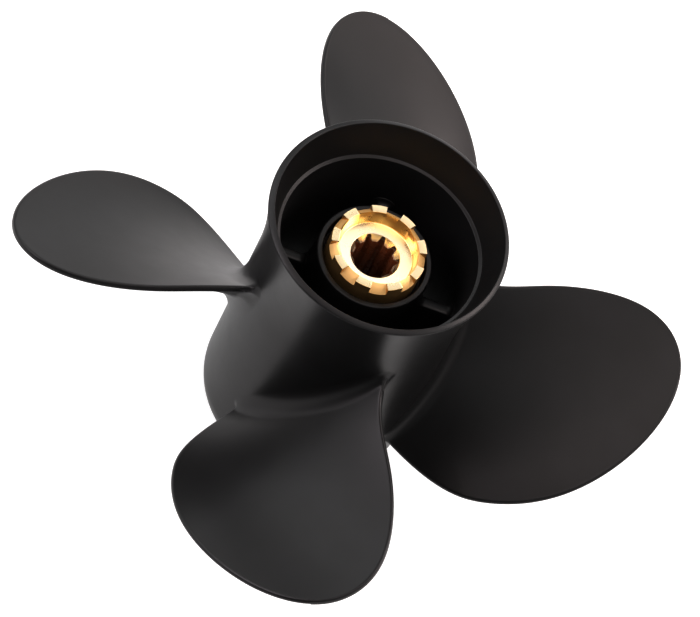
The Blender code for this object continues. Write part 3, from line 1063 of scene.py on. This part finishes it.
@dataclass
class SplineSleeve:
    """Brass sleeve with ten internal splines and a castellated aft ring."""

    barrel: Barrel
    node: str = "spline_sleeve"
    aft_depth: float = 0.0162
    radius: float = 0.0135
    front_height: float = 0.004
    front_rounding: float = 0.0006
    ring_outer: float = 0.0182
    ring_inner: float = 0.0152
    ring_length: float = 0.0138
    ring_rounding: float = 0.0004
    tooth_roundings: Pair = (0.00015, 0.0002)
    counterbore_depth: float = 0.0060
    counterbore_foot: float = 0.0143
    counterbore_rounding: float = 0.0006
    notch_count: int = 9
    notch_depth: float = 0.0030
    notch_start: float = 0.0001
    notch_angle: float = 20.8
    tooth_angle: float = -6.3
    spline_count: int = 10
    spline_angle: float = 20.2
    major_radius: float = 0.0094
    minor_radius: float = 0.0077
    root_half_angle: float = 5.0
    root_rounding_angle: float = 1.5
    mouth_half_angle: float = 10.6
    flank_power: float = 0.8
    flank_steps: int = 5
    land_shares: Pair = (0.33, 0.67)
    lead_in_radius: float = 0.0095
    lead_in_depth: float = 0.0026
    lead_in_rounding: float = 0.00025
    bore_allowance: float = 0.0005
    bore_margin: float = 0.0002
    overrun: float = 0.002
    front_overrun: float = 0.005
    edge_break: float = 0.00012
    break_angle: float = 50.0
    sharp_angle: float = 32.0
    offset: float = 0.00045
    sides: int = 216

    @property
    def top(self) -> float:
        """Height of the ring's teeth."""
        return self.barrel.height - self.aft_depth

    @property
    def bore_mouth(self) -> float:
        """Height of the counterbore's floor, where the bore begins."""
        return self.top - self.counterbore_depth

    @property
    def bore_reach(self) -> float:
        """Radius that holds the whole bore and its lead-in."""
        return self.lead_in_radius + self.bore_margin

    def blank(self) -> Object:
        """Turn the blank, before the spline and the notches are cut.

        Returns:
            The blank.
        """
        bore = self.minor_radius - self.bore_allowance
        lead_in = self.lead_in_depth / (self.lead_in_radius - self.minor_radius)
        ring_front = self.top - self.ring_length
        profile = rounded_profile([
            Corner(bore, self.front_height),
            Corner(self.radius, self.front_height, self.front_rounding),
            Corner(self.radius, ring_front, self.ring_rounding),
            Corner(self.ring_outer, ring_front, self.ring_rounding),
            Corner(self.ring_outer, self.top, self.tooth_roundings[0]),
            Corner(self.ring_inner, self.top, self.tooth_roundings[1]),
            Corner(self.counterbore_foot, self.bore_mouth, self.counterbore_rounding),
            Corner(self.lead_in_radius, self.bore_mouth, self.lead_in_rounding),
            Corner(bore, self.bore_mouth - lead_in * (self.lead_in_radius - bore)),
        ])
        return link_object("brass_sleeve", turned_mesh("sleeve_blank", profile, self.sides))

    def spline_outline(self) -> np.ndarray:
        """Trace the broach across the shaft, one groove and one land at a time.

        Returns:
            The closed outline, in front of the sleeve.
        """
        flank = np.linspace(0, 1, self.flank_steps)
        reach = self.minor_radius + (self.major_radius - self.minor_radius) * flank
        narrowing = (self.root_half_angle - self.mouth_half_angle) * flank ** self.flank_power
        lean = self.mouth_half_angle + narrowing
        lean[-1] -= self.root_rounding_angle
        pitch = 360 / self.spline_count
        land = (pitch - 2 * self.mouth_half_angle) * np.array(self.land_shares)
        radius = np.concatenate([reach, reach[::-1], np.full(len(land), self.minor_radius)])
        angle = np.concatenate([-lean, lean[::-1], self.mouth_half_angle + land])
        middle = self.spline_angle + pitch * np.arange(self.spline_count)[:, None]
        points = polar_points(radius, np.radians(middle + angle),
                              self.front_height - self.front_overrun)
        return points.reshape(-1, 3)

    def prism(self, name: str, feet: Sequence[np.ndarray], high: float) -> Object:
        """Make a cutter of upright prisms.

        Args:
            name: Name of the cutter.
            feet: Closed outlines of the lower ends, in space.
            high: Height of the upper ends.

        Returns:
            The cutter.
        """
        shape = bmesh.new()
        for outline in feet:
            foot = [shape.verts.new(point) for point in outline]
            head = [shape.verts.new((x, y, high)) for x, y, _ in outline]
            shape.faces.new(foot)
            shape.faces.new(head)
            for i in range(len(foot)):
                j = (i + 1) % len(foot)
                shape.faces.new((foot[i], foot[j], head[j], head[i]))
        bmesh.ops.recalc_face_normals(shape, faces=shape.faces)
        mesh = bpy.data.meshes.new(name)
        shape.to_mesh(mesh)
        shape.free()
        return link_object(name, mesh)

    def cutters(self) -> list[Object]:
        """Make the broach and the wedges that cut the sloping notches.

        Returns:
            Both cutters.
        """
        half = math.radians(self.notch_angle / 2)
        slope = self.notch_depth / (self.ring_outer - self.ring_inner)
        near = (self.ring_inner, self.top - self.notch_start)
        far = (self.ring_outer + self.overrun, self.top - self.notch_depth - slope * self.overrun)
        radius, height = np.array([near, far, far, near]).T
        wedges = []
        for i in range(self.notch_count):
            middle = math.radians(self.tooth_angle + 360 * (i + 0.5) / self.notch_count)
            wedges.append(polar_points(radius, middle + half * np.array([-1, -1, 1, 1]), height))
        high = self.top + self.overrun
        return [self.prism("broach", [self.spline_outline()], high),
                self.prism("wedges", wedges, high)]

    def build(self, brass: Material) -> Object:
        """Build the sleeve.

        Args:
            brass: Finish of the sleeve.

        Returns:
            The sleeve, standing for its node.
        """
        piece = self.blank()
        cutters = self.cutters()
        for cutter in cutters:
            step = piece.modifiers.new(cutter.name, "BOOLEAN")
            step.operation = "DIFFERENCE"
            step.solver = "EXACT"
            step.object = cutter
        bevel = piece.modifiers.new("broken_edges", "BEVEL")
        bevel.width = self.edge_break
        bevel.segments = 2
        bevel.limit_method = "ANGLE"
        bevel.angle_limit = math.radians(self.break_angle)
        bpy.context.view_layer.update()
        finished = piece.evaluated_get(bpy.context.evaluated_depsgraph_get())
        mesh = bpy.data.meshes.new_from_object(finished)
        piece.modifiers.clear()
        piece.data = mesh
        for cutter in cutters:
            bpy.data.objects.remove(cutter, do_unlink=True)
        mesh.materials.clear()
        mesh.materials.append(brass)
        mesh.transform(Matrix.Translation((self.offset, 0.0, 0.0)))
        mesh.shade_smooth()
        mesh.set_sharp_from_angle(angle=math.radians(self.sharp_angle))
        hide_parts(self.node)
        return piece


@dataclass
class RubberBush:
    """Rubber between the sleeve and the hub, with a hollowed aft face."""

    sleeve: SplineSleeve
    hub: InnerHub
    node: str = "rubber_bush"
    clearance: float = 0.0001
    ring_gap: float = 0.0003
    hollow_depth: float = 0.0016
    hollow_steps: int = 13
    sides: int = 144

    def build(self, rubber: Material) -> Object:
        """Build the bush.

        Args:
            rubber: Finish of the bush.

        Returns:
            The bush, standing for its node.
        """
        top = self.sleeve.top - self.sleeve.ring_length - self.ring_gap
        foot = self.hub.shoulder_height + self.clearance
        near = self.sleeve.radius + self.clearance
        far = self.hub.bore_radius - self.clearance
        profile = [(near, foot), (far, foot)]
        for share in np.linspace(0, 1, self.hollow_steps):
            dip = self.hollow_depth * math.sin(math.pi * share)
            profile.append((far + (near - far) * share, top - dip))
        mesh = turned_mesh("rubber_bush_ring", profile, self.sides)
        mesh.transform(Matrix.Translation((self.hub.offset, 0.0, 0.0)))
        piece = link_mesh("rubber_bush_ring", mesh, rubber)
        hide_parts(self.node)
        return piece


class Height(Enum):
    """Elevation of a ring of studio lights, in degrees."""

    LOW = 12.0
    MIDDLE = 35.0
    HIGH = 60.0
    OVERHEAD = 85.0


class Tint(Enum):
    """Colour of a studio light."""

    NEUTRAL = "#ffffff"
    WARM = "#fff2ef"
    ROSE = "#fff6fb"


@dataclass(frozen=True)
class SoftBox:
    """Square soft light that faces the propeller, its azimuth counted from the camera's side."""

    name: str
    azimuth: float
    height: Height
    watts: float
    tint: Tint = Tint.NEUTRAL


@dataclass
class Studio:
    """Pale floor, soft lights all round and the camera."""

    barrel: Barrel
    image_width: int = 700
    image_height: int = 617
    focal_pixels: float = 5167.0
    sensor_mm: float = 36.0
    distance: float = 1.8831
    elevation: float = 56.13
    roll: float = 28.20
    rim_pixel: Pair = (390.4, 224.6)
    far_clip: float = 10.0
    light_size: float = 0.8
    light_reach: float = 1.6
    ambient: float = 0.10
    backdrop_colour: str = "#ffffff"
    floor_reach: float = 1.5
    display_gamma: float = 0.8
    boxes: tuple[SoftBox, ...] = (
        SoftBox("left", 292.5, Height.MIDDLE, 19.0, Tint.ROSE),
        SoftBox("right", 112.5, Height.MIDDLE, 22.0, Tint.WARM),
        SoftBox("back_right", 157.5, Height.MIDDLE, 9.0, Tint.WARM),
        SoftBox("back_left", 202.5, Height.MIDDLE, 7.5),
        SoftBox("far_left", 247.5, Height.MIDDLE, 7.4),
        SoftBox("front_right", 22.5, Height.MIDDLE, 2.0),
        SoftBox("side_right", 80.0, Height.MIDDLE, 5.0),
        SoftBox("overhead", 0.0, Height.OVERHEAD, 7.2, Tint.WARM),
        SoftBox("high_right", 60.0, Height.HIGH, 3.6, Tint.WARM),
        SoftBox("high_left", 300.0, Height.HIGH, 3.0, Tint.WARM),
        SoftBox("high_back", 180.0, Height.HIGH, 3.0),
        SoftBox("high_front", 15.0, Height.HIGH, 1.9),
        SoftBox("low_back_right", 135.0, Height.LOW, 3.6),
        SoftBox("low_back", 180.0, Height.LOW, 3.3),
        SoftBox("low_back_left", 225.0, Height.LOW, 1.4),
        SoftBox("low_left", 270.0, Height.LOW, 3.0),
        SoftBox("low_front_right", 60.0, Height.LOW, 1.6, Tint.WARM),
    )

    def camera(self) -> Object:
        """Place the camera so that the rim's centre falls on its pixel of the photograph.

        Returns:
            The camera.
        """
        pixel = self.distance / self.focal_pixels
        left = (self.image_width / 2 - self.rim_pixel[0]) * pixel
        below = (self.rim_pixel[1] - self.image_height / 2) * pixel
        roll = Matrix.Rotation(math.radians(self.roll), 4, "Z")
        data = bpy.data.cameras.new("camera")
        data.sensor_width = self.sensor_mm
        data.lens = self.focal_pixels / self.image_width * self.sensor_mm
        data.clip_end = self.far_clip
        camera = link_object("camera", data)
        rim = Matrix.Translation((0.0, 0.0, self.barrel.height))
        away = Matrix.Translation((left, below, self.distance))
        camera.matrix_world = rim @ aimed_axes(0.0, self.elevation) @ roll @ away
        bpy.context.scene.camera = camera
        return camera

    def light(self, box: SoftBox) -> Object:
        """Hang a soft box that faces the propeller.

        Args:
            box: Place, power and colour of the light.

        Returns:
            The light.
        """
        data = bpy.data.lights.new(box.name, "AREA")
        data.shape = "SQUARE"
        data.size = self.light_size
        data.energy = box.watts
        data.color = hex_to_linear(box.tint.value)[:3]
        lamp = link_object(box.name, data)
        middle = Matrix.Translation((0.0, 0.0, self.barrel.height / 2))
        away = Matrix.Translation((0.0, 0.0, self.light_reach))
        lamp.matrix_world = middle @ aimed_axes(box.azimuth, box.height.value) @ away
        lamp.visible_camera = False
        return lamp

    def floor(self) -> Object:
        """Add the plain pale floor.

        Returns:
            The floor.
        """
        far = self.floor_reach
        points = np.array([[(-far, -far, 0), (far, -far, 0)], [(-far, far, 0), (far, far, 0)]])
        mesh = mesh_from_grid("floor", points, close_rows=False, close_columns=False)
        floor = link_mesh("floor", mesh, TablePaint().build())
        return floor

    def backdrop(self) -> None:
        """Surround the floor with white for the camera, and with a dim fill light for the rest."""
        world = bpy.data.worlds.new("studio")
        world.use_nodes = True
        tree = world.node_tree
        fill = tree.nodes["Background"]
        set_inputs(tree, fill, {"Strength": self.ambient})
        ray = add_node(tree, "ShaderNodeLightPath")
        pale = add_node(tree, "ShaderNodeBackground", {"Color": hex_to_linear(self.backdrop_colour)})
        mix = add_node(tree, "ShaderNodeMixShader",
                       {0: ray.outputs["Is Camera Ray"], 1: fill, 2: pale})
        set_inputs(tree, tree.nodes["World Output"], {"Surface": mix})
        bpy.context.scene.world = world

    def build(self) -> None:
        """Build the whole studio, and show it with the contrast of a catalogue photograph."""
        self.camera()
        self.floor()
        self.backdrop()
        for box in self.boxes:
            self.light(box)
        display = bpy.context.scene.view_settings
        display.view_transform = "Standard"
        display.gamma = self.display_gamma


def main() -> None:
    """Build every piece in order and set it on the body."""
    logging.basicConfig(level=logging.INFO, format="%(message)s")
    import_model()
    paint = BakedPaint().build()
    rubber = MouldedRubber().build()
    barrel = Barrel()
    hub = InnerHub(barrel)
    sleeve = SplineSleeve(barrel)
    brass = TurnedBrass(sleeve).build()
    Studio(barrel).build()
    casting = [barrel.build(paint), hub.build(paint)]
    casting += Blades(barrel).build(paint)
    casting += Ribs(barrel, hub).build(paint)
    slots = {piece: "painted_casting" for piece in casting}
    slots[sleeve.build(brass)] = "turned_brass"
    slots[RubberBush(sleeve, hub).build(rubber)] = "bush_rubber"
    for piece, slot in slots.items():
        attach(piece, BODY)
        LOG.info("%s: %d faces", piece.name, len(piece.data.polygons))


if __name__ == "__main__":
    main()
